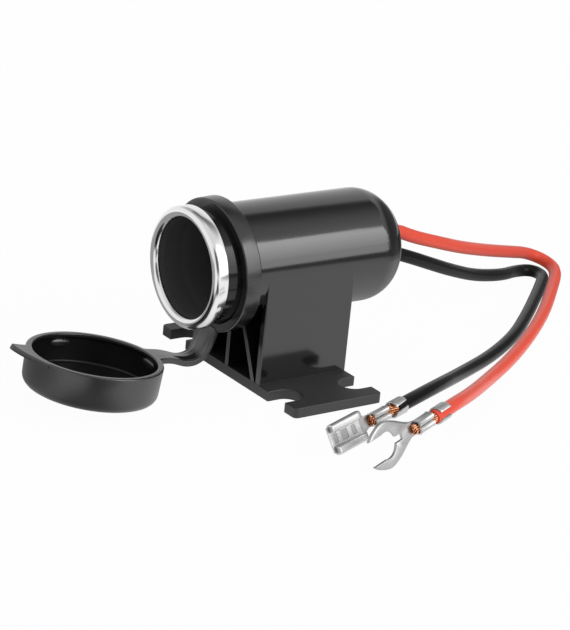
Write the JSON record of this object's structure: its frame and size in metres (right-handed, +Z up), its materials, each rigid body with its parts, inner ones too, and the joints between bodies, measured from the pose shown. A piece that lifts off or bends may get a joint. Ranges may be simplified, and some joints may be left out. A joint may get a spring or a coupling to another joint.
{
  "type": "car power socket",
  "caption": "Vehicle 12 V accessory power socket on a slotted screw-down pedestal, with a strapped rubber dust cap, a bright rim and crimped leads.",
  "frame": {"origin": "centre of the base plate's underside", "axes": "+Z up from the mounting surface, -Y out of the socket's mouth, +X to the right when the mouth is seen from behind"},
  "size_m": [0.0845, 0.1641, 0.0402],
  "materials": {
    "housing_plastic": "high gloss black",
    "rim_metal": "polished",
    "cap_rubber": "satin dark grey",
    "insulator": "matt black",
    "contact_metal": "bright",
    "terminal_metal": "tinned",
    "copper": "bare strands",
    "red_jacket": "satin red",
    "black_jacket": "satin black"
  },
  "bodies": {
    "socket": {"housing": "housing_plastic", "rim_ring": "rim_metal", "cap_ring": "cap_rubber", "cap_strap": "cap_rubber", "contact_base": "insulator", "positive_contact": "contact_metal", "positive_lug": "contact_metal", "ground_contact": "contact_metal", "receptacle_terminal": "terminal_metal", "fork_terminal": "terminal_metal", "red_conductor": "copper", "black_conductor": "copper", "red_wire": "red_jacket", "black_wire": "black_jacket"},
    "cap": {"dust_cap": "cap_rubber"}
  },
  "joints": [
    {"name": "cap_swing", "type": "hinge", "parent": "socket", "child": "cap", "pos_m": [0, -0.0225, 0.0031], "axis": [-1, 0, 0], "range_deg": [0, 82.7], "deforming": ["cap_strap"]}
  ]
}
